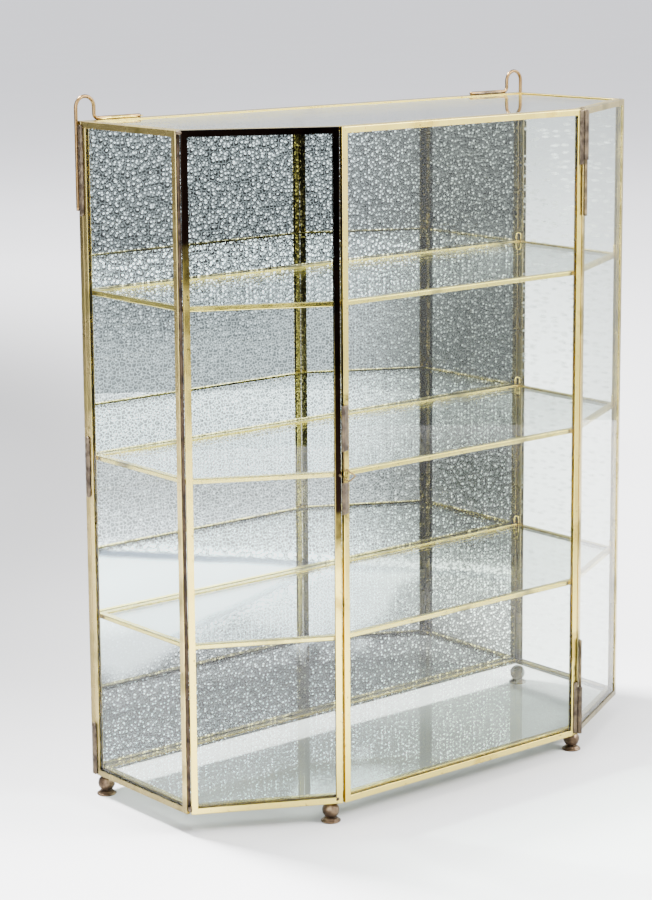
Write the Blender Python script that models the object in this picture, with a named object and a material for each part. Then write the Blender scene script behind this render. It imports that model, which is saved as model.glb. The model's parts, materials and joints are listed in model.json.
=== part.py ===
"""Brass and glass wall showcase with a mirror back, three glass shelves and a hinged front door.

The cabinet is a box of glass panels. Each pane sits in its own brass channel frame, and the frames
are soldered together at the corners. In plan it is a rectangle whose two front corners are cut off
by angled facets. Metres, +Z up, front towards -Y, standing on its four feet at Z = 0.
"""

from math import asin, atan2, ceil, cos, degrees, pi, radians, sin

import bmesh
import bpy
from mathutils import Vector

MM = 0.001
GAP = 0.3 * MM  # between neighbouring solids

# Overall sizes
WIDTH = 411 * MM
DEPTH = 163 * MM  # from the door's face to the rear of the back panel
HEIGHT = 457 * MM  # of the glass case, without its feet
DOOR_BAY = 222.4 * MM  # width of the flat front, between the two facets
FACET_DEPTH = 50 * MM  # how far back each facet runs
FOOT_HEIGHT = 14 * MM
FOOT_BASE_RADIUS = 6.9 * MM
FOOT_BALL_RADIUS = 5.9 * MM

# Brass channel and glass
CHANNEL_FACE = 4.4 * MM  # how much of the pane's edge the channel covers
CHANNEL_DEPTH = 3.4 * MM  # through the wall
BACK_CHANNEL_DEPTH = 4.6 * MM
CHANNEL_WALL = 0.5 * MM
CHANNEL_ROUNDING = 0.7 * MM
LIP_ROUNDING = 0.12 * MM
ROUNDING_STEPS = 3
PANE_GAP = 0.2 * MM  # between the pane and its channel

# Panels that lie flat: heights of their middles above the case's underside
FLOOR_HEIGHT = 3.7 * MM
SHELF_HEIGHTS = {
    "lower_shelf": HEIGHT * 115 / 457,
    "middle_shelf": HEIGHT * 227 / 457,
    "upper_shelf": HEIGHT * 341 / 457,
}

# Door and hinges: the pins stand on the right facet, the sleeves ride on the door
DOOR_GAP = 0.3 * MM  # at each side of the door
SLEEVE_RADIUS = 1.8 * MM
SLEEVE_BORE_RADIUS = 1.25 * MM
PIN_RADIUS = 1.1 * MM
PIN_END_GAP = 4 * MM  # between a pin's hidden end and the far end of its sleeve
# Each hinge's sleeve and the free end of its pin, as heights above the case's underside
SLEEVE_SPANS = {"upper": (HEIGHT - 35.5 * MM, HEIGHT - 0.5 * MM), "lower": (2 * MM, 37 * MM)}
PIN_FREE_ENDS = {"upper": HEIGHT - 75 * MM, "lower": 72 * MM}
PIN_WEB = (2.1 * MM, 4.0 * MM)  # where the pin's solder meets the facet, from the hinge's axis

# Latch: a bent wire that turns in two tubes on the door's left stile
LATCH_TUBE_RADIUS = 1.4 * MM
LATCH_BORE_RADIUS = 0.6 * MM
LATCH_WIRE_RADIUS = 0.45 * MM
LATCH_OUTSET = 1.7 * MM  # from the door's left end to the latch's axis
LOOP_MIDDLE = HEIGHT / 2 - 1.7 * MM  # height of the loop's middle above the case's underside
LATCH_SPANS = {
    "upper": (LOOP_MIDDLE + 16.7 * MM, LOOP_MIDDLE + 47.2 * MM),
    "lower": (LOOP_MIDDLE - 25.8 * MM, LOOP_MIDDLE - 5 * MM),
}
# The bent part of the wire, as (reach, height from the loop's middle), from the top down
LOOP_BENDS = (
    (0 * MM, 3.4 * MM),
    (2.2 * MM, 4.4 * MM),
    (7.9 * MM, -0.2 * MM),
    (3.4 * MM, -3.7 * MM),
    (0 * MM, -1.2 * MM),
)
LOOP_REST_ANGLE = -28  # degrees from the door's face
PEG_RADIUS = 0.5 * MM
PEG_LENGTH = 3.3 * MM
PEG_INSET = 1.3 * MM  # from the end of the left facet to the catch peg
PEG_RISE = 0.5 * MM  # above the loop's middle

# Solder that holds a sleeve or tube to the door
SOLDER_OVERRUN = 3.5 * MM  # past the tube's inner end
HINGE_SOLDER_REACH = 4.6 * MM  # from the tube's axis
LATCH_SOLDER_REACH = 5.4 * MM
SOLDER_EDGE = 0.35 * MM

# Hangers
HANGER_WIRE_RADIUS = 0.8 * MM
HANGER_EYE_WIDTH = 14.6 * MM  # between the middles of the eye's two legs
HANGER_EYE_RISE = 17 * MM  # of the eye's highest point above the case
HANGER_LEG = 60 * MM  # down the back corner
HANGER_ARM = 45 * MM  # along the top of the back panel, from the outer leg
HANGER_BEND = 3 * MM

# Solder
BEAD_WIDTH = 5.0 * MM
BEAD_RISE = 1.5 * MM
# Each bead's bottom and top, measured from the case's underside
BEAD_SPANS = {
    "lower_bead": (0 * MM, 38 * MM),
    "middle_bead": (HEIGHT / 2 - 29.5 * MM, HEIGHT / 2 + 13.5 * MM),
    "upper_bead": (HEIGHT - 64 * MM, HEIGHT - 2 * MM),
}
SEAM_FILL = 0.8  # share of the groove's depth that the corner solder fills

# Wire clips at the shelves' right-hand corners
CLIP_WIRE_RADIUS = 0.45 * MM
CLIP_RISE = 5.5 * MM
CLIP_WIDTH = 3.6 * MM

# Feet, measured from the case's corners: sideways and back
FRONT_FOOT_OUT = 4.2 * MM
FRONT_FOOT_BACK = 9.7 * MM
BACK_FOOT_IN = 5.6 * MM
BACK_FOOT_FORWARD = 4.6 * MM

ROUND_SIDES = 20
WIRE_BEVEL_RESOLUTION = 2

# The latch's loop is the frontmost thing, so the case stands half of this behind the middle
LOOP_REACH = max(reach for reach, height in LOOP_BENDS)
LOOP_SWING = LOOP_REACH * sin(radians(-LOOP_REST_ANGLE))
LOOP_PROJECTION = GAP + LATCH_TUBE_RADIUS + LOOP_SWING + LATCH_WIRE_RADIUS
FRONT = -(DEPTH - LOOP_PROJECTION) / 2
BACK = FRONT + DEPTH
BACK_PANEL_FACE = BACK - BACK_CHANNEL_DEPTH
CASE_BOTTOM = FOOT_HEIGHT
CASE_TOP = CASE_BOTTOM + HEIGHT

BRASS = ("brass", (0.86, 0.64, 0.27), 1.0, 0.18)
TARNISH = ("tarnished_brass", (0.25, 0.15, 0.08), 0.9, 0.45)
GLASS = ("clear_glass", (0.93, 0.96, 0.95), 0.0, 0.02)
MIRROR = ("mirror_glass", (0.88, 0.90, 0.90), 1.0, 0.03)


def remove_everything():
    for old in list(bpy.data.objects):
        bpy.data.objects.remove(old, do_unlink=True)


def material(look):
    """The Principled material for a (name, colour, metallic, roughness) look."""
    name, colour, metallic, roughness = look
    found = bpy.data.materials.get(name)
    if found:
        return found
    made = bpy.data.materials.new(name)
    made.use_nodes = True
    shader = made.node_tree.nodes["Principled BSDF"]
    shader.inputs["Base Color"].default_value = (*colour, 1)
    shader.inputs["Metallic"].default_value = metallic
    shader.inputs["Roughness"].default_value = roughness
    made.diffuse_color = (*colour, 1)
    return made


def place(piece, location=(0, 0, 0), rotation=(0, 0, 0), parent=None):
    piece.location = location
    piece.rotation_euler = rotation
    if parent:
        piece.parent = parent
        piece.location = Vector(location) - parent.location
    bpy.context.collection.objects.link(piece)
    return piece


def mesh_object(name, shape, look, smooth=False):
    """An unlinked object from a bmesh, which is freed."""
    bmesh.ops.recalc_face_normals(shape, faces=shape.faces)
    mesh = bpy.data.meshes.new(name)
    shape.to_mesh(mesh)
    shape.free()
    if smooth:
        mesh.shade_smooth()
        mesh.set_sharp_from_angle(angle=radians(35))
    mesh.materials.append(material(look))
    return bpy.data.objects.new(name, mesh)


def axis_empty(name, location):
    empty = bpy.data.objects.new(name, None)
    empty.location = location
    bpy.context.collection.objects.link(empty)
    return empty


def turned(direction, angle):
    """A plan direction turned anticlockwise by an angle in radians."""
    x, y = direction
    return Vector((x * cos(angle) - y * sin(angle), x * sin(angle) + y * cos(angle)))


def inset_outline(outline, inset):
    """The outline, anticlockwise and convex, moved inwards by the same distance on every side."""
    count = len(outline)
    moved = []
    for i, corner in enumerate(outline):
        into = (corner - outline[i - 1]).normalized()
        out = (outline[(i + 1) % count] - corner).normalized()
        normal_in = turned(into, pi / 2)
        normal_out = turned(out, pi / 2)
        mitre = (normal_in + normal_out) / (1 + normal_in.dot(normal_out))
        moved.append(corner + mitre * inset)
    return moved


def loop_of(shape, outline, height):
    return [shape.verts.new((p.x, p.y, height)) for p in outline]


def bridge(shape, first, second):
    """Faces between two loops with the same number of points."""
    count = len(first)
    for i in range(count):
        j = (i + 1) % count
        shape.faces.new((first[i], first[j], second[j], second[i]))


# ---------------------------------------------------------------- panels


def rounded_corner(centre, start, steps, radius):
    """Points of a quarter circle in the channel's (inset, height) section, turning anticlockwise."""
    points = []
    for i in range(steps + 1):
        angle = radians(start + 90 * i / steps)
        points.append((centre[0] + radius * cos(angle), centre[1] + radius * sin(angle)))
    return points


def channel_section(depth):
    """The U-shaped section as (inset from the panel's edge, height), open towards the pane."""
    wall = CHANNEL_WALL
    big, small = CHANNEL_ROUNDING, LIP_ROUNDING
    face = CHANNEL_FACE
    section = rounded_corner((face - small, small), 270, 1, small)
    section += [(face, wall), (wall, wall), (wall, depth - wall), (face, depth - wall)]
    section += rounded_corner((face - small, depth - small), 0, 1, small)
    section += rounded_corner((big, depth - big), 90, ROUNDING_STEPS, big)
    section += rounded_corner((big, big), 180, ROUNDING_STEPS, big)
    return section


def channel_frame(name, outline, depth):
    """A closed ring of channel around an outline, its underside at Z = 0."""
    shape = bmesh.new()
    loops = [loop_of(shape, inset_outline(outline, inset), z) for inset, z in channel_section(depth)]
    for i, loop in enumerate(loops):
        bridge(shape, loop, loops[(i + 1) % len(loops)])
    return mesh_object(name, shape, BRASS, smooth=True)


def pane(name, outline, depth, look):
    """The plate that fills a channel frame of this depth."""
    edge = inset_outline(outline, CHANNEL_WALL + PANE_GAP)
    bottom = CHANNEL_WALL + PANE_GAP
    shape = bmesh.new()
    low = loop_of(shape, edge, bottom)
    high = loop_of(shape, edge, depth - bottom)
    bridge(shape, low, high)
    shape.faces.new(low)
    shape.faces.new(high)
    return mesh_object(name, shape, look)


def panel(name, outline, depth, look, pane_kind="glass", **where):
    place(channel_frame(f"{name}_frame", outline, depth), **where)
    place(pane(f"{name}_{pane_kind}", outline, depth, look), **where)


def wall_panel(name, start, end, depth=CHANNEL_DEPTH, look=GLASS, pane_kind="glass", parent=None):
    """An upright panel whose inner face runs in plan from start to end, as seen from outside."""
    along = end - start
    outline = [Vector(p) for p in ((0, 0), (along.length, 0), (along.length, HEIGHT), (0, HEIGHT))]
    panel(
        name,
        outline,
        depth,
        look,
        pane_kind,
        location=(start.x, start.y, CASE_BOTTOM),
        rotation=(pi / 2, 0, atan2(along.y, along.x)),
        parent=parent,
    )


def flat_panel(name, outline, middle):
    panel(name, outline, CHANNEL_DEPTH, GLASS, location=(0, 0, middle - CHANNEL_DEPTH / 2))


def shortened(start, end, cut_start, cut_end):
    along = (end - start).normalized()
    return start + along * cut_start, end - along * cut_end


def case_plan():
    """The outline of the walls' inner faces in plan, anticlockwise from the back left corner."""
    side = WIDTH / 2
    outer = [
        Vector((-side, BACK_PANEL_FACE)),
        Vector((-side, FRONT + FACET_DEPTH)),
        Vector((-DOOR_BAY / 2, FRONT)),
        Vector((DOOR_BAY / 2, FRONT)),
        Vector((side, FRONT + FACET_DEPTH)),
        Vector((side, BACK_PANEL_FACE)),
    ]
    inner = inset_outline(outer, CHANNEL_DEPTH)
    for corner in (inner[0], inner[-1]):
        corner.y = BACK_PANEL_FACE
    return inner


def build_case(inner):
    back_left, left, front_left, front_right, right, back_right = inner
    half = GAP / 2
    wall_panel("left_side", *shortened(back_left, left, GAP, half))
    wall_panel("left_facet", *shortened(left, front_left, half, half))
    wall_panel("right_facet", *shortened(front_right, right, half, half))
    wall_panel("right_side", *shortened(right, back_right, half, GAP))
    wall_panel(
        "back",
        Vector((WIDTH / 2, BACK_PANEL_FACE)),
        Vector((-WIDTH / 2, BACK_PANEL_FACE)),
        BACK_CHANNEL_DEPTH,
        MIRROR,
        "mirror",
    )
    lying = inset_outline(inner, GAP)
    flat_panel("top", lying, CASE_TOP - CHANNEL_DEPTH / 2)
    flat_panel("floor", lying, CASE_BOTTOM + FLOOR_HEIGHT)
    for name, height in SHELF_HEIGHTS.items():
        flat_panel(name, lying, CASE_BOTTOM + height)


# ---------------------------------------------------------------- turned and bent pieces


def ring_of(shape, radius, height, sides=ROUND_SIDES):
    turn = 2 * pi / sides
    points = [Vector((radius * cos(i * turn), radius * sin(i * turn))) for i in range(sides)]
    return loop_of(shape, points, height)


def turned_solid(name, profile, look, sides=ROUND_SIDES):
    """A solid of revolution about Z from a (radius, height) profile, from the bottom up."""
    shape = bmesh.new()
    rings = [ring_of(shape, radius, height, sides) for radius, height in profile]
    for low, high in zip(rings, rings[1:]):
        bridge(shape, low, high)
    shape.faces.new(rings[0])
    shape.faces.new(rings[-1])
    return mesh_object(name, shape, look, smooth=True)


def tube(name, outer, bore, length, look, sides=ROUND_SIDES):
    """A round tube along Z, from Z = 0 up, with its outer edges softened."""
    edge = min(0.2 * MM, (outer - bore) / 3)
    section = [
        (bore, 0),
        (outer - edge, 0),
        (outer, edge),
        (outer, length - edge),
        (outer - edge, length),
        (bore, length),
    ]
    shape = bmesh.new()
    rings = [ring_of(shape, radius, height, sides) for radius, height in section]
    for i, ring in enumerate(rings):
        bridge(shape, ring, rings[(i + 1) % len(rings)])
    return mesh_object(name, shape, look, smooth=True)


def arc(centre, radius, start, end, steps, across, up):
    """Points of a circle arc between two angles in degrees, in the plane of two directions."""
    points = []
    for i in range(steps + 1):
        angle = radians(start + (end - start) * i / steps)
        points.append(centre + across * (radius * cos(angle)) + up * (radius * sin(angle)))
    return points


def wire(name, points, radius, look, closed=False):
    """A bent wire along straight runs between points."""
    curve = bpy.data.curves.new(name, "CURVE")
    curve.dimensions = "3D"
    curve.bevel_depth = radius
    curve.bevel_resolution = WIRE_BEVEL_RESOLUTION
    curve.use_fill_caps = not closed
    spline = curve.splines.new("POLY")
    spline.points.add(len(points) - 1)
    for spot, point in zip(spline.points, points):
        spot.co = (*point, 1)
    spline.use_cyclic_u = closed
    curve.materials.append(material(look))
    return bpy.data.objects.new(name, curve)


# ---------------------------------------------------------------- feet


def foot_profile():
    """A flared base, a ball and a small flat on top that meets the case."""
    flat = 0.94  # how far up the ball its top is cut flat, as a share of its radius
    neck = 2.9 * MM  # height at which the ball grows out of the base
    centre = FOOT_HEIGHT - GAP - FOOT_BALL_RADIUS * flat
    profile = [
        (FOOT_BASE_RADIUS - 0.4 * MM, 0),
        (FOOT_BASE_RADIUS, 0.4 * MM),
        (FOOT_BASE_RADIUS, 0.9 * MM),
        (FOOT_BASE_RADIUS * 0.84, 1.7 * MM),
        (FOOT_BASE_RADIUS * 0.68, 2.7 * MM),
    ]
    lowest = degrees(asin((neck - centre) / FOOT_BALL_RADIUS))
    highest = degrees(asin(flat))
    steps = ceil((highest - lowest) / 15)
    for i in range(steps + 1):
        angle = radians(lowest + (highest - lowest) * i / steps)
        profile.append((FOOT_BALL_RADIUS * cos(angle), centre + FOOT_BALL_RADIUS * sin(angle)))
    return profile


def build_feet():
    front_x = DOOR_BAY / 2 + FRONT_FOOT_OUT
    front_y = FRONT + FRONT_FOOT_BACK
    back_x = WIDTH / 2 - BACK_FOOT_IN
    back_y = BACK_PANEL_FACE - BACK_FOOT_FORWARD
    spots = {
        "front_left_foot": (-front_x, front_y, 0),
        "front_right_foot": (front_x, front_y, 0),
        "back_left_foot": (-back_x, back_y, 0),
        "back_right_foot": (back_x, back_y, 0),
    }
    for name, spot in spots.items():
        place(turned_solid(name, foot_profile(), TARNISH), spot)


# ---------------------------------------------------------------- solder


def build_corner_solder(name, before, corner, after):
    """The run of solder in the open groove between two walls that meet at an inner corner."""
    out_before = turned((corner - before).normalized(), -pi / 2)
    out_after = turned((after - corner).normalized(), -pi / 2)
    outward = (out_before + out_after).normalized()
    half_turn = outward.angle(out_after)
    apex = corner + outward * (GAP / sin(half_turn))
    reach = (CHANNEL_DEPTH - GAP / sin(half_turn)) * SEAM_FILL
    edge_before = apex + out_before * reach
    edge_after = apex + out_after * reach
    hollow = apex + outward * (reach * cos(half_turn) * 0.8)
    outline = [apex, edge_before, hollow, edge_after]
    shape = bmesh.new()
    low = loop_of(shape, outline, CASE_BOTTOM + CHANNEL_FACE / 2)
    high = loop_of(shape, outline, CASE_TOP - CHANNEL_FACE / 2)
    bridge(shape, low, high)
    shape.faces.new(low)
    shape.faces.new(high)
    place(mesh_object(name, shape, TARNISH))


def bead(name, length):
    """A half-round run of solder with round ends, flat on X = 0, standing out towards +X."""
    shape = bmesh.new()
    bmesh.ops.create_uvsphere(shape, u_segments=12, v_segments=8, radius=1)
    half = length / 2 - BEAD_WIDTH / 2
    for vert in shape.verts:
        x, y, z = vert.co
        shift = half if z > 0.01 else -half if z < -0.01 else 0
        vert.co = (x * BEAD_RISE, y * BEAD_WIDTH / 2, z * BEAD_WIDTH / 2 + shift)
    everything = shape.verts[:] + shape.edges[:] + shape.faces[:]
    cut = bmesh.ops.bisect_plane(
        shape, geom=everything, dist=1e-7, plane_co=(1e-6, 0, 0), plane_no=(1, 0, 0), clear_inner=True
    )
    edges = [item for item in cut["geom_cut"] if isinstance(item, bmesh.types.BMEdge)]
    bmesh.ops.contextual_create(shape, geom=edges)
    return mesh_object(name, shape, TARNISH, smooth=True)


def build_beads():
    """Solder over the seam between each side panel and the back panel."""
    seam = BACK_PANEL_FACE + BEAD_WIDTH / 2 - CHANNEL_FACE / 2
    for hand, side in (("left", -1), ("right", 1)):
        for name, (bottom, top) in BEAD_SPANS.items():
            spot = (side * (WIDTH / 2 + GAP), seam, CASE_BOTTOM + (bottom + top) / 2)
            turn = 0 if side > 0 else pi
            place(bead(f"{hand}_{name}", top - bottom), spot, (0, 0, turn))


# ---------------------------------------------------------------- hangers


def hanger_route(side):
    """Down the back corner, over the eye, and inwards along the top of the back panel."""
    right, up = Vector((1, 0, 0)), Vector((0, 0, 1))
    inwards = right * -side
    outer_x = side * (WIDTH / 2 + GAP + HANGER_WIRE_RADIUS)
    y = BACK - HANGER_WIRE_RADIUS
    eye_radius = HANGER_EYE_WIDTH / 2
    eye_z = CASE_TOP + HANGER_EYE_RISE - HANGER_WIRE_RADIUS - eye_radius
    arm_z = CASE_TOP + GAP + HANGER_WIRE_RADIUS
    outer = Vector((outer_x, y, CASE_TOP - HANGER_LEG))
    eye = Vector((outer_x, y, eye_z)) + inwards * eye_radius
    bend = Vector((outer_x, y, arm_z + HANGER_BEND)) + inwards * (HANGER_EYE_WIDTH + HANGER_BEND)
    end = Vector((outer_x, y, arm_z)) + inwards * (HANGER_ARM + HANGER_EYE_WIDTH / 2)
    points = [outer]
    points += arc(eye, eye_radius, 180, 0, 12, inwards, up)
    points += arc(bend, HANGER_BEND, 180, 270, 4, inwards, up)
    points.append(end)
    return points


def build_hangers():
    for name, side in (("left_hanger", -1), ("right_hanger", 1)):
        place(wire(name, hanger_route(side), HANGER_WIRE_RADIUS, BRASS))


# ---------------------------------------------------------------- hinges


def prism(name, outline, bottom, top, look):
    shape = bmesh.new()
    low = loop_of(shape, outline, bottom)
    high = loop_of(shape, outline, top)
    bridge(shape, low, high)
    shape.faces.new(low)
    shape.faces.new(high)
    return mesh_object(name, shape, look, smooth=True)


def tube_solder(name, radius, reach, span, along):
    """The fillet from a tube on Z to the flat face behind it, at +Y, that runs out along +X or -X."""
    clear = radius + GAP
    face = radius  # the tube stands one gap clear of the face, and so does the solder
    outline = []
    steps = 4
    start = asin(face / clear)
    for i in range(steps + 1):
        angle = start + (radians(8) - start) * i / steps
        outline.append(Vector((along * clear * cos(angle), clear * sin(angle))))
    outline.append(Vector((along * (reach - SOLDER_EDGE), face - SOLDER_EDGE)))
    outline.append(Vector((along * reach, face)))
    return prism(name, outline, *span, TARNISH)


def hinge_axis(inner):
    """A point in plan just outside the front right corner, clear of both faces."""
    before, corner, after = inner[2], inner[3], inner[4]
    out_door = turned((corner - before).normalized(), -pi / 2)
    out_facet = turned((after - corner).normalized(), -pi / 2)
    outward = (out_door + out_facet).normalized()
    half_turn = outward.angle(out_facet)
    return corner + outward * ((CHANNEL_DEPTH + GAP + SLEEVE_RADIUS) / cos(half_turn))


def pin_ring(shape, height, webbed):
    """A pin's section; where webbed, its side is drawn out to the solder's foot on the facet.

    The facet's face is at +Y, and the facet runs away towards +X.
    """
    sides = 14
    near, far = PIN_WEB
    points = []
    for i in range(sides):
        angle = -pi + 2 * pi * (i + 0.5) / sides
        spot = Vector((PIN_RADIUS * cos(angle), PIN_RADIUS * sin(angle)))
        if webbed and radians(-45) < angle < radians(34):
            spot = Vector((far, SLEEVE_RADIUS))
        elif webbed and radians(34) <= angle < radians(100):
            spot = Vector((near, SLEEVE_RADIUS))
        points.append(spot)
    return loop_of(shape, points, height)


def hinge_pin(name, free_end, mouth, hidden_end):
    """A pin on Z: soldered to the facet from its free end to the sleeve's mouth, then plain."""
    gap = GAP if mouth > free_end else -GAP
    stations = [(free_end, True), (mouth - gap, True), (mouth - gap, False), (hidden_end, False)]
    shape = bmesh.new()
    rings = [pin_ring(shape, height, webbed) for height, webbed in stations]
    for low, high in zip(rings, rings[1:]):
        bridge(shape, low, high)
    shape.faces.new(rings[0])
    shape.faces.new(rings[-1])
    bmesh.ops.remove_doubles(shape, verts=shape.verts, dist=1e-6)
    return mesh_object(name, shape, BRASS, smooth=True)


def build_door(inner):
    axis = hinge_axis(inner)
    pivot = axis_empty("door_axis", (axis.x, axis.y, CASE_BOTTOM))
    start, end = shortened(inner[2], inner[3], DOOR_GAP, DOOR_GAP)
    wall_panel("door", start, end, parent=pivot)
    facet = inner[4] - inner[3]
    facet_turn = atan2(facet.y, facet.x)
    for which, (bottom, top) in SLEEVE_SPANS.items():
        upper = which == "upper"
        sleeve = tube(
            f"{which}_hinge_sleeve", SLEEVE_RADIUS, SLEEVE_BORE_RADIUS, top - bottom, TARNISH
        )
        place(sleeve, (axis.x, axis.y, CASE_BOTTOM + bottom), parent=pivot)
        solder_span = (bottom - SOLDER_OVERRUN, top) if upper else (bottom, top + SOLDER_OVERRUN)
        solder = tube_solder(
            f"{which}_hinge_solder", SLEEVE_RADIUS, HINGE_SOLDER_REACH, solder_span, -1
        )
        place(solder, pivot.location, parent=pivot)
        mouth, hidden = (bottom, top - PIN_END_GAP) if upper else (top, bottom + PIN_END_GAP)
        pin = hinge_pin(f"{which}_hinge_pin", PIN_FREE_ENDS[which], mouth, hidden)
        place(pin, pivot.location, (0, 0, facet_turn))
    return pivot, start


# ---------------------------------------------------------------- latch


def latch_wire_route():
    """A straight wire with a kite-shaped loop part way down, in the XZ plane, its axis on Z."""
    end_gap = 2 * MM
    top = LATCH_SPANS["upper"][1] - LOOP_MIDDLE - end_gap
    bottom = LATCH_SPANS["lower"][0] - LOOP_MIDDLE + end_gap
    bends = [Vector((reach, 0, height)) for reach, height in LOOP_BENDS]
    return [Vector((0, 0, top)), *bends, Vector((0, 0, bottom))]


def build_latch(door_pivot, door_start, inner):
    """The tubes ride on the door's left stile, and the catch peg stands on the left facet's."""
    x = door_start.x - LATCH_OUTSET
    y = FRONT - GAP - LATCH_TUBE_RADIUS
    for which, (bottom, top) in LATCH_SPANS.items():
        name = f"{which}_latch_tube"
        made = tube(name, LATCH_TUBE_RADIUS, LATCH_BORE_RADIUS, top - bottom, TARNISH, sides=14)
        place(made, (x, y, CASE_BOTTOM + bottom), parent=door_pivot)
        solder = tube_solder(
            f"{which}_latch_solder", LATCH_TUBE_RADIUS, LATCH_SOLDER_REACH, (bottom, top), 1
        )
        place(solder, (x, y, CASE_BOTTOM), parent=door_pivot)
    z = CASE_BOTTOM + LOOP_MIDDLE
    loop = wire("latch_wire", latch_wire_route(), LATCH_WIRE_RADIUS, TARNISH)
    place(loop, (x, y, z), (0, 0, radians(LOOP_REST_ANGLE)))

    along = (inner[1] - inner[2]).normalized()
    outward = turned(along, pi / 2)
    foot = inner[2] + along * PEG_INSET + outward * (CHANNEL_DEPTH + GAP)
    profile = [
        (PEG_RADIUS * 1.8, 0),
        (PEG_RADIUS * 1.7, 0.35 * MM),
        (PEG_RADIUS, 0.6 * MM),
        (PEG_RADIUS, PEG_LENGTH - 0.3 * MM),
        (PEG_RADIUS * 0.6, PEG_LENGTH),
    ]
    peg = turned_solid("catch_peg", profile, BRASS, sides=12)
    place(peg, (foot.x, foot.y, z + PEG_RISE), (pi / 2, 0, atan2(outward.y, outward.x) + pi / 2))


# ---------------------------------------------------------------- shelf clips


def clip_route():
    """A small hoop of wire, standing in the XZ plane."""
    half = CLIP_WIDTH / 2
    across, up = Vector((1, 0, 0)), Vector((0, 0, 1))
    crown = Vector((0, 0, CLIP_RISE - half))
    return [Vector((half, 0, 0))] + arc(crown, half, 0, 180, 6, across, up) + [Vector((-half, 0, 0))]


def build_clips(inner):
    """A hoop on each shelf's frame in each right-hand corner of the case."""
    lying = inset_outline(inner, GAP + CHANNEL_FACE / 2)
    corners = {"side": lying[4], "back": lying[5]}
    headings = {"side": radians(60), "back": radians(135)}
    for shelf, height in SHELF_HEIGHTS.items():
        z = CASE_BOTTOM + height + CHANNEL_DEPTH / 2 + GAP
        for where, corner in corners.items():
            clip = wire(f"{shelf}_{where}_clip", clip_route(), CLIP_WIRE_RADIUS, BRASS)
            place(clip, (corner.x, corner.y, z), (0, 0, headings[where]))


def main():
    remove_everything()
    inner = case_plan()
    build_case(inner)
    build_feet()
    build_corner_solder("left_corner_solder", inner[0], inner[1], inner[2])
    build_corner_solder("right_corner_solder", inner[3], inner[4], inner[5])
    build_beads()
    build_hangers()
    door_pivot, door_start = build_door(inner)
    build_latch(door_pivot, door_start, inner)
    build_clips(inner)


main()
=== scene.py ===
"""Looks for the brass and glass wall showcase: materials, fine pieces, floor, light and camera."""

import json
from math import cos, radians, sin, tau

import bmesh
import bpy
from mathutils import Matrix, Vector, noise


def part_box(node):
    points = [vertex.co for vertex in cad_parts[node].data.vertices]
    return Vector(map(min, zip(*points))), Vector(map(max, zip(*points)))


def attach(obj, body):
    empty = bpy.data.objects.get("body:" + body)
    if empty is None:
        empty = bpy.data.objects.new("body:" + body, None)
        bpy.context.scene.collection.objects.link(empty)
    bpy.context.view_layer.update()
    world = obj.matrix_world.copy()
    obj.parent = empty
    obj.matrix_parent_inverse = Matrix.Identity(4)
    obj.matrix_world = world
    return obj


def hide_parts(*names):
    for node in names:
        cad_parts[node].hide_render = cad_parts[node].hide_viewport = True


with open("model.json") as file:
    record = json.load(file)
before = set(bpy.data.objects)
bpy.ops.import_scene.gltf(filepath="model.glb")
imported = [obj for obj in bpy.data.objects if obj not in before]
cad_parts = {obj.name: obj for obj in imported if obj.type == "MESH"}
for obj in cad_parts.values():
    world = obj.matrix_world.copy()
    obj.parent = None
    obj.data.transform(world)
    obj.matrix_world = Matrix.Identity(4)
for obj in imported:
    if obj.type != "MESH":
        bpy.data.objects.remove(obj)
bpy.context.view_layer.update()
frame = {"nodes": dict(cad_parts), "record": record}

MM = 0.001

# Pebbles painted into the mirror's reflection as highlights and dark cores, seen straight on
PEBBLE_WIDTH = 3.6 * MM
PEBBLE_HEIGHT = 2.9 * MM
# Where the painted pebble reflection is strong, as heights above the floor: all above, and again at
# the foot
UPPER_ZONE = (290 * MM, 370 * MM)
FOOT_ZONE = (98 * MM, 78 * MM)
# The clean wedge low on the mirror, a painted pale reflection: the height of its top edge at the
# middle, and how it falls
WEDGE_HEIGHT = 129.5 * MM
WEDGE_FALL = 0.2225
# Painted reflections on the right side pane: pale streaks standing in for reflected glints
GLINT_WIDTH = 11 * MM
GLINT_HEIGHT = 3.6 * MM
GLASS_TINT = (0.955, 0.980, 0.964)

# Small pieces rebuilt from the CAD node with hand-made unevenness:
# longest edge, depth of the unevenness, and how many lumps to a metre
LUMPY = (0.7 * MM, 0.34 * MM, 420)
ROUGH = (0.6 * MM, 0.14 * MM, 520)
WORN = (1.2 * MM, 0.05 * MM, 260)
FINEST = 9000  # the number of faces at which a rebuilt piece is fine enough
# How much the lacquer thickens the bent wires
LACQUER = {"hanger": 0.50 * MM, "latch_wire": 0.20 * MM}

UPRIGHT_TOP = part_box("top_frame")[1][2]
CASE_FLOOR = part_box("floor_frame")[0][2]


# ---------------------------------------------------------------- node helpers


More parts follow.
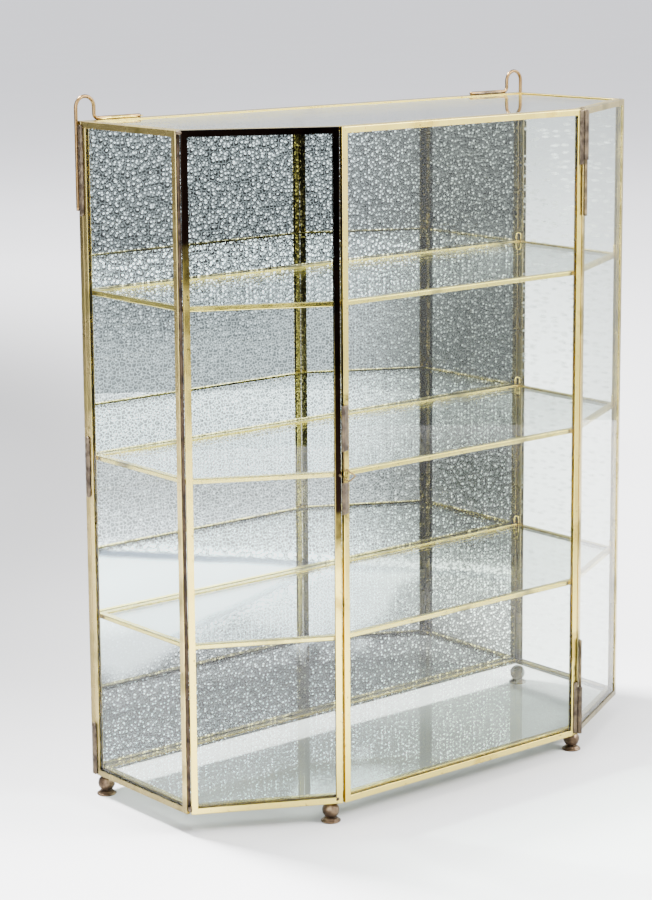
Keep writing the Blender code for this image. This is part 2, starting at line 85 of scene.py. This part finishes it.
class Nodes:
    """A short way to build a material's node tree."""

    def __init__(self, tree):
        self.tree = tree
        tree.nodes.clear()

    def add(self, kind, inputs=None, **settings):
        node = self.tree.nodes.new(kind)
        for key, value in settings.items():
            setattr(node, key, value)
        for key, value in (inputs or {}).items():
            self.feed(node.inputs[key], value)
        return node

    def feed(self, socket, value):
        if isinstance(value, bpy.types.NodeSocket):
            self.tree.links.new(value, socket)
        elif isinstance(value, bpy.types.Node):
            self.tree.links.new(value.outputs[0], socket)
        elif socket.type == "RGBA" and len(value) == 3:
            socket.default_value = (*value, 1)
        else:
            socket.default_value = value

    def where(self):
        return self.add("ShaderNodeTexCoord").outputs["Object"]

    def axes(self, vector):
        return self.add("ShaderNodeSeparateXYZ", {0: vector}).outputs

    def math(self, operation, a, b=0.0, clamp=False):
        node = self.add("ShaderNodeMath", operation=operation, use_clamp=clamp)
        self.feed(node.inputs[0], a)
        self.feed(node.inputs[1], b)
        return node.outputs[0]

    def vector(self, operation, a, b):
        return self.add("ShaderNodeVectorMath", {0: a, 1: b}, operation=operation).outputs[0]

    def noise(self, vector, scale, detail=2.0):
        inputs = {"Vector": vector, "Scale": scale, "Detail": detail}
        return self.add("ShaderNodeTexNoise", inputs).outputs[0]

    def ramp(self, factor, stops):
        """A colour ramp from a list of (position, colour) pairs."""
        node = self.add("ShaderNodeValToRGB", {"Fac": factor})
        elements = node.color_ramp.elements
        while len(elements) < len(stops):
            elements.new(0.5)
        for element, (position, colour) in zip(elements, stops):
            element.position = position
            element.color = (*colour, 1)
        return node.outputs["Color"]

    def remap(self, value, low, high, new_low=0.0, new_high=1.0, smooth=False):
        kind = "SMOOTHSTEP" if smooth else "LINEAR"
        node = self.add("ShaderNodeMapRange", interpolation_type=kind)
        for index, item in enumerate((value, low, high, new_low, new_high)):
            self.feed(node.inputs[index], item)
        return node.outputs[0]

    def step(self, value, low, high):
        """0 below low, 1 above high (or the reverse when low is the greater), eased between."""
        if low < high:
            return self.remap(value, low, high, 0.0, 1.0, smooth=True)
        return self.remap(value, high, low, 1.0, 0.0, smooth=True)

    def mix(self, factor, a, b, blend="MIX"):
        node = self.add("ShaderNodeMix", data_type="RGBA", blend_type=blend)
        self.feed(node.inputs["Factor"], factor)
        self.feed(node.inputs[6], a)
        self.feed(node.inputs[7], b)
        return node.outputs[2]

    def bump(self, height, strength, distance):
        inputs = {"Height": height, "Strength": strength, "Distance": distance}
        return self.add("ShaderNodeBump", inputs).outputs[0]

    def metal(self, colour, metallic, roughness, normal):
        inputs = {"Base Color": colour, "Metallic": metallic, "Roughness": roughness}
        inputs["Normal"] = normal
        return self.add("ShaderNodeBsdfPrincipled", inputs)


def new_material(name):
    made = bpy.data.materials.new(name)
    made.use_nodes = True
    return made, Nodes(made.node_tree)


def finish_material(nodes, shader):
    output = nodes.add("ShaderNodeOutputMaterial")
    nodes.feed(output.inputs["Surface"], shader.outputs[0])


# ---------------------------------------------------------------- materials

PALE_GOLD = (0.70, 0.55, 0.13)
DEEP_GOLD = (0.40, 0.28, 0.05)
OLIVE = (0.20, 0.16, 0.05)
COPPER = (0.18, 0.11, 0.045)
BURNT = (0.035, 0.022, 0.012)
# Near black, for stains and old solder, and for the left facet's painted dark reflection
BLACK_STAIN_AND_DARK_REFLECTION = (0.006, 0.003, 0.002)


def make_brass(name, bright, dull, coverage, rough, shade=None):
    """Thin rolled brass: dull patches, fine rub marks, brown specks, and an optional darkening: heat
    stains on the door, a painted dark reflection on the left facet, darker lower ends elsewhere.
    """
    made, n = new_material(name)
    where = n.where()
    patches = n.noise(where, 34.0, 4.0)
    specks = n.noise(where, 430.0)
    marks = n.noise(where, 1400.0, 1.0)
    swell = n.noise(where, 120.0, 1.0)
    colour = n.mix(n.step(patches, 0.66 - coverage, 0.84 - coverage), bright, dull)
    colour = n.mix(n.math("MULTIPLY", n.step(specks, 0.66, 0.74), 0.75), colour, BURNT)
    shine = n.remap(patches, 0.3, 0.75, rough[0], rough[1])
    # The optional darkening: stains on the door, a painted dark reflection on the left facet
    if shade:
        mask = shade(n, where)
        colour = n.mix(mask, colour, BLACK_STAIN_AND_DARK_REFLECTION)
    height = n.math("ADD", n.math("MULTIPLY", marks, 0.25), swell)
    normal = n.bump(height, 0.12, 0.5 * MM)
    finish_material(n, n.metal(colour, 1.0, shine, normal))
    return made


def facet_dark_reflection(n, where):
    """Painted dark reflection on the top of the left facet's frame, reaching far down beside the
    door, where tarnish darkens it too.
    """
    x, y, z = n.axes(where)[:3]
    door_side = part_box("left_facet_frame")[1][0]
    edge = n.step(x, door_side - 6 * MM, door_side - 4.5 * MM)
    ragged = n.math("MULTIPLY", n.math("SUBTRACT", n.noise(where, 70.0, 3.0), 0.5), 60 * MM)
    height = n.math("ADD", z, ragged)
    # Painted dark reflection beside the door and near the top
    by_door = n.step(height, 0.165, 0.215)
    elsewhere = n.step(height, 0.32, 0.40)
    return n.math("ADD", elsewhere, n.math("MULTIPLY", edge, by_door), clamp=True)


def door_shade(n, where):
    """Heat stains on the door's frame beside the latch tubes and under the hinge sleeves."""
    x, y, z = n.axes(where)[:3]
    left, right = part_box("door_frame")[0][0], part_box("door_frame")[1][0]
    by_latch = n.step(x, left + 5 * MM, left + 3 * MM)
    by_hinge = n.step(x, right - 4 * MM, right - 2.5 * MM)
    mask = 0.0
    for node, side, reach in (
        ("upper_latch_tube", by_latch, 4 * MM),
        ("lower_latch_tube", by_latch, 6 * MM),
        ("upper_hinge_sleeve", by_hinge, 8 * MM),
        ("lower_hinge_sleeve", by_hinge, 16 * MM),
    ):
        low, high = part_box(node)[0][2] - reach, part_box(node)[1][2] + reach
        over, under = n.step(z, low - 5 * MM, low + 5 * MM), n.step(z, high + 5 * MM, high)
        span = n.math("MULTIPLY", over, under)
        mask = n.math("ADD", mask, n.math("MULTIPLY", span, side), clamp=True)
    ragged = n.remap(n.noise(where, 260.0, 4.0), 0.38, 0.6, 0.15, 0.95)
    return n.math("MULTIPLY", mask, ragged)


def seam_shade(n, where):
    """Darkening of the brass toward the case's lower ends."""
    z = n.axes(where)[2]
    ragged = n.math("MULTIPLY", n.math("SUBTRACT", n.noise(where, 130.0, 4.0), 0.5), 30 * MM)
    low = n.step(n.math("ADD", z, ragged), CASE_FLOOR + 14 * MM, CASE_FLOOR + 2 * MM)
    return n.math("MULTIPLY", low, 0.55)


def make_tarnish(name, deep, middle, high):
    """Brown, uneven tarnish and old solder."""
    made, n = new_material(name)
    where = n.where()
    clouds = n.noise(where, 190.0, 5.0)
    grit = n.noise(where, 900.0, 3.0)
    colour = n.ramp(clouds, [(0.32, deep), (0.5, middle), (0.68, high)])
    shine = n.remap(grit, 0.3, 0.7, 0.3, 0.6)
    finish_material(n, n.metal(colour, 0.85, shine, n.bump(grit, 0.5, 0.5 * MM)))
    return made


def make_glass(name, painted_glints=False):
    """Picture glass: tinted see-through, with a reflection that grows toward grazing."""
    made, n = new_material(name)
    where = n.where()
    waves = n.noise(where, 9.0, 1.0)
    clear = n.add("ShaderNodeBsdfTransparent", {"Color": GLASS_TINT})
    inputs = {"Color": (1, 1, 1), "Roughness": 0.015, "Normal": n.bump(waves, 0.02, 2 * MM)}
    gloss = n.add("ShaderNodeBsdfGlossy", inputs)
    grazing = n.add("ShaderNodeLayerWeight", {"Blend": 0.5}).outputs["Facing"]
    amount = n.remap(n.math("POWER", grazing, 5.0), 0.0, 1.0, 0.02, 1.0)
    shader = n.add("ShaderNodeMixShader", {0: amount, 1: clear, 2: gloss})
    # Painted reflection: pale diffuse streaks for the glints the side pane reflects, stronger higher
    # up
    if painted_glints:
        x, y, z = n.axes(where)[:3]
        across, up = n.math("DIVIDE", y, GLINT_WIDTH), n.math("DIVIDE", z, GLINT_HEIGHT)
        cell = pebble_cells(n, across, up, 0.5, 1.0)[1]
        each = n.axes(cell.outputs["Color"])[0]
        mask = n.math("MULTIPLY", n.step(cell.outputs["Distance"], 0.42, 0.15), each)
        mask = n.math("MULTIPLY", mask, n.remap(z, 0.05, 0.42, 0.12, 0.5))
        pale = n.add("ShaderNodeBsdfDiffuse", {"Color": (0.95, 0.97, 0.96)})
        shader = n.add("ShaderNodeMixShader", {0: mask, 1: shader, 2: pale})
    finish_material(n, shader)
    return made


def pebble_cells(n, across, up, warp, randomness):
    """Cells about one unit across: place in the plane, cell texture, distance to cell edges."""
    flat = n.add("ShaderNodeCombineXYZ", {0: across, 1: up})
    bent = n.add("ShaderNodeTexNoise", {"Vector": flat, "Scale": 0.45, "Detail": 2.0})
    bent = n.vector("SUBTRACT", bent.outputs["Color"], (0.5, 0.5, 0.5))
    place = n.vector("ADD", flat, n.vector("MULTIPLY", bent, (warp, warp, 0)))
    inputs = {"Vector": place, "Scale": 1.0, "Randomness": randomness}
    cell = n.add("ShaderNodeTexVoronoi", inputs, voronoi_dimensions="2D")
    settings = {"voronoi_dimensions": "2D", "feature": "DISTANCE_TO_EDGE"}
    edge = n.add("ShaderNodeTexVoronoi", inputs, **settings)
    return place, cell, edge.outputs["Distance"]


def painted_pebble_pattern(n, where):
    """Each pebble's distances to its cell's edge and to its painted highlight, and the painted
    highlight itself.
    """
    x, y, z = n.axes(where)[:3]
    across, up = n.math("DIVIDE", x, PEBBLE_WIDTH), n.math("DIVIDE", z, PEBBLE_HEIGHT)
    place, cell, edge = pebble_cells(n, across, up, 0.7, 0.9)
    each = n.axes(cell.outputs["Color"])[0]
    from_spot = n.vector("SUBTRACT", place, cell.outputs["Position"])
    from_spot = n.vector("SUBTRACT", from_spot, (0, 0.13, 0))
    away = n.add("ShaderNodeVectorMath", {0: from_spot}, operation="LENGTH").outputs["Value"]
    shine = n.math("MULTIPLY", n.step(away, 0.37, 0.12), n.remap(each, 0.0, 1.0, 0.20, 1.25))
    return edge, away, shine


def painted_pebble_tones(n, edge, shine, right):
    """Painted reflection: how much the mirror reflects where the pebbles are mild, and where they
    are strong, with painted highlights and dark cell cores.
    """
    spot = n.math("MULTIPLY", shine, n.remap(right, 0.0, 1.0, 1.0, 1.15))
    strong = n.math("SUBTRACT", 0.25, n.math("MULTIPLY", n.step(edge, 0.02, 0.15), 0.23))
    strong = n.math("ADD", strong, spot)
    mild = n.math("SUBTRACT", 0.70, n.math("MULTIPLY", n.step(edge, 0.04, 0.20), 0.46))
    mild = n.math("ADD", mild, n.math("MULTIPLY", shine, 0.50))
    return mild, strong


def wedge_edge(n, x, above, away, tone):
    """A painted shadow stripe along the top of the clean wedge, with painted white glints just over
    it.
    """
    over, under = n.step(above, -5 * MM, -1 * MM), n.step(above, 3.5 * MM, 0.5 * MM)
    shadow = n.math("MULTIPLY", over, under)
    shadow = n.math("MULTIPLY", shadow, n.remap(x, -0.15, 0.14, 0.9, 0.25))
    tone = n.mix(shadow, tone, (0.10, 0.12, 0.17))
    over, under = n.step(above, 1 * MM, 4 * MM), n.step(above, 11 * MM, 5 * MM)
    glint = n.math("MULTIPLY", over, under)
    glint = n.math("MULTIPLY", glint, n.step(away, 0.60, 0.30))
    return n.mix(glint, tone, (1.0, 1.0, 1.0))


def make_mirror(name):
    """Mirror glass with painted reflections: pebbles of painted highlights and dark cores, strong
    above and at the foot, and a painted pale reflection clean in a low wedge.
    """
    made, n = new_material(name)
    where = n.where()
    x, y, z = n.axes(where)[:3]
    edge, away, shine = painted_pebble_pattern(n, where)
    right = n.step(x, 0.0, 0.15)
    mild, strong = painted_pebble_tones(n, edge, shine, right)
    drift = n.math("MULTIPLY", n.math("SUBTRACT", n.noise(where, 9.0), 0.5), 0.12)
    height = n.math("ADD", z, drift)
    line = n.math("ADD", n.math("MULTIPLY", x, -WEDGE_FALL), WEDGE_HEIGHT)
    above = n.math("SUBTRACT", n.math("ADD", z, n.math("MULTIPLY", drift, 0.06)), line)
    # Zones of the painted pebble reflection: strong above, at the foot, and beside the wedge at the
    # right
    foot = n.step(height, *FOOT_ZONE)
    beside = n.math("MULTIPLY", right, n.step(above, -2 * MM, 12 * MM))
    strength = n.math("MAXIMUM", n.step(height, *UPPER_ZONE), n.math("MULTIPLY", beside, 0.85))
    strength = n.math("MAXIMUM", strength, n.math("MULTIPLY", foot, 0.85))
    tone = n.mix(strength, mild, strong)
    # The wedge: a painted pale reflection with few pebbles
    wedge = n.math("MULTIPLY", n.step(above, 3 * MM, -3 * MM), n.math("SUBTRACT", 1.0, foot))
    plain = n.math("ADD", 0.86, n.math("MULTIPLY", shine, 0.12))
    tone = wedge_edge(n, x, above, away, n.mix(wedge, tone, plain))
    # Painted reflection tint, cooler at the left and greener at the right, and painted shade dimming
    # the right above the wedge
    cool = n.mix(right, (0.88, 0.93, 1.0), (0.93, 0.98, 0.92))
    dim = n.remap(n.math("MULTIPLY", right, n.step(above, 0.0, 30 * MM)), 0.0, 1.0, 1.0, 0.40)
    colour = n.mix(1.0, n.mix(1.0, tone, cool, "MULTIPLY"), dim, "MULTIPLY")
    sharp = n.add("ShaderNodeBsdfGlossy", {"Color": colour, "Roughness": 0.0})
    paint = n.mix(n.noise(where, 40.0, 5.0), (0.20, 0.19, 0.18), (0.34, 0.32, 0.29))
    back = n.add("ShaderNodeBsdfPrincipled", {"Base Color": paint, "Roughness": 0.55})
    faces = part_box("back_mirror")
    behind = n.math("GREATER_THAN", y, (faces[0][1] + faces[1][1]) / 2)
    finish_material(n, n.add("ShaderNodeMixShader", {0: behind, 1: sharp, 2: back}))
    return made


CLEAN = (0.14, 0.30)  # the range of roughness on well kept brass
BRIGHT = make_brass("bright_brass", PALE_GOLD, DEEP_GOLD, 0.06, CLEAN, seam_shade)
DOOR = make_brass("door_brass", PALE_GOLD, DEEP_GOLD, 0.08, CLEAN, door_shade)
# The left facet's frame carries a painted dark reflection
FACET = make_brass("facet_brass", PALE_GOLD, DEEP_GOLD, 0.08, CLEAN, facet_dark_reflection)
SIDE = make_brass("side_brass", (0.46, 0.36, 0.13), OLIVE, 0.16, (0.18, 0.38), seam_shade)
DARK_SIDE = make_brass("dark_side_brass", (0.26, 0.20, 0.075), OLIVE, 0.20, (0.2, 0.4), seam_shade)
SHELF = make_brass("shelf_brass", PALE_GOLD, OLIVE, 0.10, (0.16, 0.34))
HOOK = make_brass("hook_brass", COPPER, OLIVE, 0.14, (0.22, 0.42))
WIRE = make_brass("latch_brass", (0.12, 0.08, 0.03), BURNT, 0.20, (0.2, 0.4))
SOLDER = make_tarnish(
    "brown_solder", (0.028, 0.020, 0.014), (0.07, 0.052, 0.035), (0.11, 0.082, 0.05)
)
ROD = make_tarnish("worn_rod", (0.035, 0.025, 0.015), (0.075, 0.055, 0.03), (0.17, 0.125, 0.065))
FOOT = make_tarnish("aged_foot", BURNT, (0.075, 0.048, 0.028), (0.20, 0.14, 0.08))
SEAM = make_tarnish("seam_solder", BLACK_STAIN_AND_DARK_REFLECTION, BURNT, (0.05, 0.034, 0.02))
CLEAR = make_glass("clear_glass")
GLINT_GLASS = make_glass("glass_with_painted_glints", painted_glints=True)
SILVER = make_mirror("mirror_with_painted_reflection")


# ---------------------------------------------------------------- fine pieces


def show(name, shape, body, material):
    """Turns a bmesh into a piece that moves with a CAD body."""
    mesh = bpy.data.meshes.new(name)
    shape.to_mesh(mesh)
    shape.free()
    mesh.materials.append(material)
    mesh.shade_smooth()
    mesh.set_sharp_from_angle(angle=radians(50))
    made = bpy.data.objects.new(name, mesh)
    bpy.context.scene.collection.objects.link(made)
    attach(made, body)
    return made


def unevenness(point, lumps, seed):
    """Between -1 and 1, changing over 1 / lumps of a metre."""
    return noise.noise(point * lumps + Vector((seed, seed * 1.7, seed * 0.3)))


def rebuilt(node, body, material, finish, seed, coat=0.0):
    """A finely divided copy of a CAD node's shape with a hand-worked, coated surface."""
    longest, depth, lumps = finish
    shape = bmesh.new()
    shape.from_mesh(frame["nodes"][node].data)
    bmesh.ops.remove_doubles(shape, verts=shape.verts, dist=1e-6)
    bmesh.ops.triangulate(shape, faces=shape.faces)
    for turn in range(5):
        long_edges = [edge for edge in shape.edges if edge.calc_length() > longest]
        if not long_edges or len(shape.faces) > FINEST:
            break
        bmesh.ops.subdivide_edges(shape, edges=long_edges, cuts=1)
        bmesh.ops.triangulate(shape, faces=shape.faces)
    shape.normal_update()
    moves = []
    for vertex in shape.verts:
        amount = unevenness(vertex.co, lumps, seed) + 0.4 * unevenness(vertex.co, lumps * 3, seed)
        moves.append(vertex.normal * (amount * depth + coat))
    for vertex, move in zip(shape.verts, moves):
        vertex.co += move
    made = show(node + "_fine", shape, body, material)
    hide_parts(node)
    return made


def blob(name, centre, radii, seed, material):
    """A drop of solder on the cabinet: a ball flattened to three radii and made lumpy."""
    shape = bmesh.new()
    bmesh.ops.create_icosphere(shape, subdivisions=4, radius=1.0)
    for vertex in shape.verts:
        lump = 1 + 0.22 * noise.noise(vertex.co * 1.6 + Vector((seed, 0, 0)))
        lump += 0.08 * noise.noise(vertex.co * 5 + Vector((0, seed, 0)))
        stretched = Vector(a * b for a, b in zip(vertex.co, radii))
        vertex.co = Vector(centre) + stretched * lump
    return show(name, shape, "cabinet", material)


def dress(node, material):
    shown = frame["nodes"][node].data
    for index in range(len(shown.materials)):
        shown.materials[index] = material
    if not shown.materials:
        shown.materials.append(material)


DRESSED = {
    "door_frame": DOOR,
    "left_facet_frame": FACET,
    "right_facet_frame": SIDE,
    "left_side_frame": SIDE,
    "right_side_frame": DARK_SIDE,
    "right_side_glass": GLINT_GLASS,
    "back_frame": DARK_SIDE,
    "top_frame": BRIGHT,
    "floor_frame": BRIGHT,
    "upper_shelf_frame": SHELF,
    "middle_shelf_frame": SHELF,
    "lower_shelf_frame": SHELF,
    "back_mirror": SILVER,
}

REBUILT = {
    "hinge_sleeve": (SOLDER, WORN),
    "hinge_solder": (SOLDER, LUMPY),
    "hinge_pin": (ROD, WORN),
    "latch_tube": (SOLDER, WORN),
    "latch_solder": (SOLDER, ROUGH),
    "latch_wire": (WIRE, WORN),
    "catch_peg": (ROD, WORN),
    "hanger": (HOOK, WORN),
    "foot": (FOOT, ROUGH),
    "bead": (SOLDER, LUMPY),
    "corner_solder": (SEAM, LUMPY),
    "clip": (SHELF, WORN),
}


def body_of_node(node):
    for body, members in frame["record"]["behaviour"]["bodies"].items():
        if node in members:
            return body
    return "cabinet"


def dress_and_rebuild():
    for seed, part in enumerate(frame["record"]["subparts"]):
        node, slot_name = part["node"], part["material_slot"]
        if node in DRESSED:
            dress(node, DRESSED[node])
        elif slot_name == "clear_glass":
            dress(node, CLEAR)
        else:
            kind = next(kind for kind in REBUILT if node.endswith(kind))
            material, finish = REBUILT[kind]
            coat = LACQUER.get(kind, 0.0)
            rebuilt(node, body_of_node(node), material, finish, seed, coat)


def add_solder_drops():
    """Drops where the frames' corners meet, on the fixed walls clear of the door.

    Each drop has a corner point, how far its centre lies from that point in mm, and its radii in mm.
    """
    facet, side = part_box("left_facet_frame"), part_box("left_side_frame")
    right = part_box("right_facet_frame")
    top, low = UPRIGHT_TOP, CASE_FLOOR
    drops = (
        ("left_front_top", (side[0][0], facet[1][1], top), (2.2, -1.0, -1.4), (2.6, 2.2, 1.5)),
        ("left_front_low", (side[0][0], facet[1][1], low), (2.0, -1.4, 2.0), (1.8, 1.6, 2.2)),
        ("right_front_top", (right[1][0], right[1][1], top), (-2.0, -1.0, -1.3), (2.4, 2.2, 1.4)),
        ("door_post_low", (facet[1][0], facet[0][1], low), (-3.6, 2.6, 1.6), (2.3, 1.7, 1.9)),
        ("hinge_post_top", (right[0][0], right[0][1], top), (3.4, 3.6, -0.4), (3.0, 2.0, 1.3)),
        ("hinge_post_low", (right[0][0], right[0][1], low), (3.6, 3.0, 1.4), (2.2, 1.8, 1.8)),
    )
    for seed, (name, corner, shift, radii) in enumerate(drops):
        centre = Vector(corner) + Vector(shift) * MM
        blob("solder_" + name, centre, [radius * MM for radius in radii], seed * 3.1, SOLDER)


def add_hanger_strips():
    """The flat run of solder that fixes each hanger's arm to the top of the back panel."""
    for side, material in (("left", SHELF), ("right", SOLDER)):
        low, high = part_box(side + "_hanger")
        outer, inner = (low[0], high[0]) if side == "left" else (high[0], low[0])
        inward = 1 if side == "left" else -1
        start, end = outer + inward * 17 * MM, inner + inward * 1 * MM
        centre = ((start + end) / 2, (low[1] + high[1]) / 2, UPRIGHT_TOP + 0.9 * MM)
        radii = (abs(end - start) / 2, 1.9 * MM, 1.1 * MM)
        blob(side + "_hanger_strip", centre, radii, 7.3 + inward, material)


dress_and_rebuild()
add_solder_drops()
add_hanger_strips()


# ---------------------------------------------------------------- floor, light and camera

FLOOR_SIZE = 60.0
SCREEN_RADIUS = 1.35
SCREEN_HEIGHT = 1.6
SCREEN_STEPS = 96
CAMERA_PLACE = (-1.1464, -1.3090, 0.5986)

def staged(name, shape, material):
    """Turns a bmesh into a piece of the studio, which isn't part of the object."""
    mesh = bpy.data.meshes.new(name)
    shape.to_mesh(mesh)
    shape.free()
    mesh.materials.append(material)
    made = bpy.data.objects.new(name, mesh)
    bpy.context.scene.collection.objects.link(made)
    return made


def pool(n, where, centre, along, length, width):
    """1 at the centre of a long oval on the floor, fading smoothly to 0 at its edge."""
    from_centre = n.vector("SUBTRACT", where, (*centre, 0))
    ahead, beside = Vector((*along, 0)), Vector((along[1], -along[0], 0))
    scaled = []
    for direction, reach in ((ahead, length), (beside, width)):
        inputs = {0: from_centre, 1: tuple(direction / reach)}
        dot = n.add("ShaderNodeVectorMath", inputs, operation="DOT_PRODUCT")
        scaled.append(n.math("POWER", n.math("ABSOLUTE", dot.outputs["Value"]), 2.0))
    return n.step(n.math("SQRT", n.math("ADD", scaled[0], scaled[1])), 1.0, 0.2)


def make_floor():
    """A pale table top with painted shadows: its tone falls off behind the case, most of all to its
    left, and darkens beneath and far in front of the case.
    """
    material, n = new_material("pale_floor")
    where = n.where()
    x, y, z = n.axes(where)[:3]
    grain = n.noise(where, 3.0)
    near = n.mix(grain, (0.93, 0.925, 0.94), (0.96, 0.955, 0.97))
    back = n.math("ADD", y, n.math("MULTIPLY", x, 0.8))
    # Painted shadow of the case: a darker band behind it
    tones = (
        (0.0, (1.0, 1.0, 1.0)),
        (0.10, (0.66, 0.66, 0.66)),
        (0.26, (0.60, 0.60, 0.60)),
        (0.8, (1.0, 1.0, 1.02)),
    )
    colour = n.mix(1.0, near, n.ramp(n.remap(back, -0.25, 6.0), tones), "MULTIPLY")
    # Painted shadow behind the case, to its left
    behind = pool(n, where, (0.20, 1.12), (0.485, 0.875), 1.9, 0.95)
    colour = n.mix(behind, colour, (0.16, 0.16, 0.163))
    # Painted shade far in front of the case, seen in the mirror
    before = pool(n, where, (0.50, -0.80), (0.77, 0.63), 1.2, 0.70)
    colour = n.mix(before, colour, (0.24, 0.24, 0.24))
    # Painted shadow beneath the case
    under = n.math("MULTIPLY", pool(n, where, (0, 0), (1, 0), 0.27, 0.13), 0.8)
    colour = n.mix(under, colour, (0.16, 0.15, 0.13))
    finish_material(n, n.add("ShaderNodeBsdfDiffuse", {"Color": colour}))
    shape = bmesh.new()
    bmesh.ops.create_grid(shape, x_segments=1, y_segments=1, size=FLOOR_SIZE / 2)
    staged("floor", shape, material)


def glossy_only(card):
    card.visible_camera = False
    card.visible_diffuse = False
    card.visible_shadow = False
    card.visible_transmission = False


def make_studio_screen():
    """A round screen that only reflections see, with light and dark stretches along it."""
    shape = bmesh.new()
    columns = []
    for i in range(SCREEN_STEPS + 1):
        angle = tau * i / SCREEN_STEPS
        x, y = SCREEN_RADIUS * cos(angle), SCREEN_RADIUS * sin(angle)
        columns.append((shape.verts.new((x, y, 0)), shape.verts.new((x, y, SCREEN_HEIGHT))))
    for left, right in zip(columns, columns[1:]):
        shape.faces.new((left[0], right[0], right[1], left[1]))
    material, n = new_material("studio_screen")
    x, y, z = n.axes(n.where())[:3]
    low_front = n.remap(z, 0.0, 0.34, 2.0, 2.9, smooth=True)
    high_front = n.remap(z, 0.40, 0.54, 0.0, 5.0, smooth=True)
    right = n.math("MULTIPLY", n.math("ADD", low_front, high_front), n.step(x, -0.05, 0.25))
    by_camera = n.math("MULTIPLY", n.step(x, -0.62, -0.72), n.remap(z, 0.2, 0.4, 2.0, 10.0))
    front = n.math("ADD", n.math("ADD", right, by_camera), 0.04)
    behind = n.remap(x, -1.0, 1.0, 0.45, 1.3, smooth=True)
    strength = n.math("MULTIPLY", front, n.step(y, 0.1, -0.1))
    strength = n.math("ADD", strength, n.math("MULTIPLY", behind, n.step(y, -0.1, 0.1)))
    glow = n.add("ShaderNodeEmission", {"Color": (0.95, 0.975, 1.0), "Strength": strength})
    finish_material(n, glow)
    glossy_only(staged("studio_screen", shape, material))


def area_light(name, location, target, size, watts):
    data = bpy.data.lights.new(name, "AREA")
    data.shape = "RECTANGLE"
    data.size, data.size_y = size
    data.energy = watts
    made = bpy.data.objects.new(name, data)
    made.location = location
    made.rotation_euler = (Vector(target) - Vector(location)).to_track_quat("-Z", "Y").to_euler()
    bpy.context.scene.collection.objects.link(made)
    made.visible_camera = False


def make_light():
    world = bpy.data.worlds.new("studio")
    bpy.context.scene.world = world
    world.use_nodes = True
    n = Nodes(world.node_tree)
    up = n.axes(n.add("ShaderNodeTexCoord").outputs["Generated"])[2]
    stops = ((0.48, (0.55, 0.55, 0.56)), (0.8, (0.96, 0.97, 1.0)))
    colour = n.ramp(n.remap(up, -1.0, 1.0), stops)
    light = n.add("ShaderNodeBackground", {"Color": colour, "Strength": 1.45})
    output = n.add("ShaderNodeOutputWorld")
    n.feed(output.inputs["Surface"], light.outputs[0])
    area_light("key", (-0.35, 1.05, 2.5), (0, -0.1, 0), (0.45, 0.45), 480)
    area_light("front", (1.5, -2.0, 1.9), (0.2, -0.8, 0), (1.4, 1.0), 330)
    area_light("left", (-2.2, -0.4, 1.1), (0, 0, 0.25), (0.9, 1.4), 30)


def make_camera():
    """From the front left, a little above the case."""
    data = bpy.data.cameras.new("camera")
    data.lens = 99.7
    data.sensor_width = 36
    data.shift_x = 0.0168
    data.shift_y = -0.0844
    data.clip_start = 0.01
    made = bpy.data.objects.new("camera", data)
    azimuth, elevation, roll = radians(39.34), radians(-10.2), radians(-0.44)
    level = cos(elevation)
    forward = Vector((sin(azimuth) * level, cos(azimuth) * level, sin(elevation)))
    right = Vector((cos(azimuth), -sin(azimuth), 0))
    up = right.cross(forward)
    turned_right = right * cos(roll) + up * sin(roll)
    turned_up = up * cos(roll) - right * sin(roll)
    turn = Matrix((turned_right, turned_up, -forward)).transposed()
    made.matrix_world = Matrix.Translation(CAMERA_PLACE) @ turn.to_4x4()
    bpy.context.scene.collection.objects.link(made)
    bpy.context.scene.camera = made


make_floor()
make_studio_screen()
make_light()
make_camera()
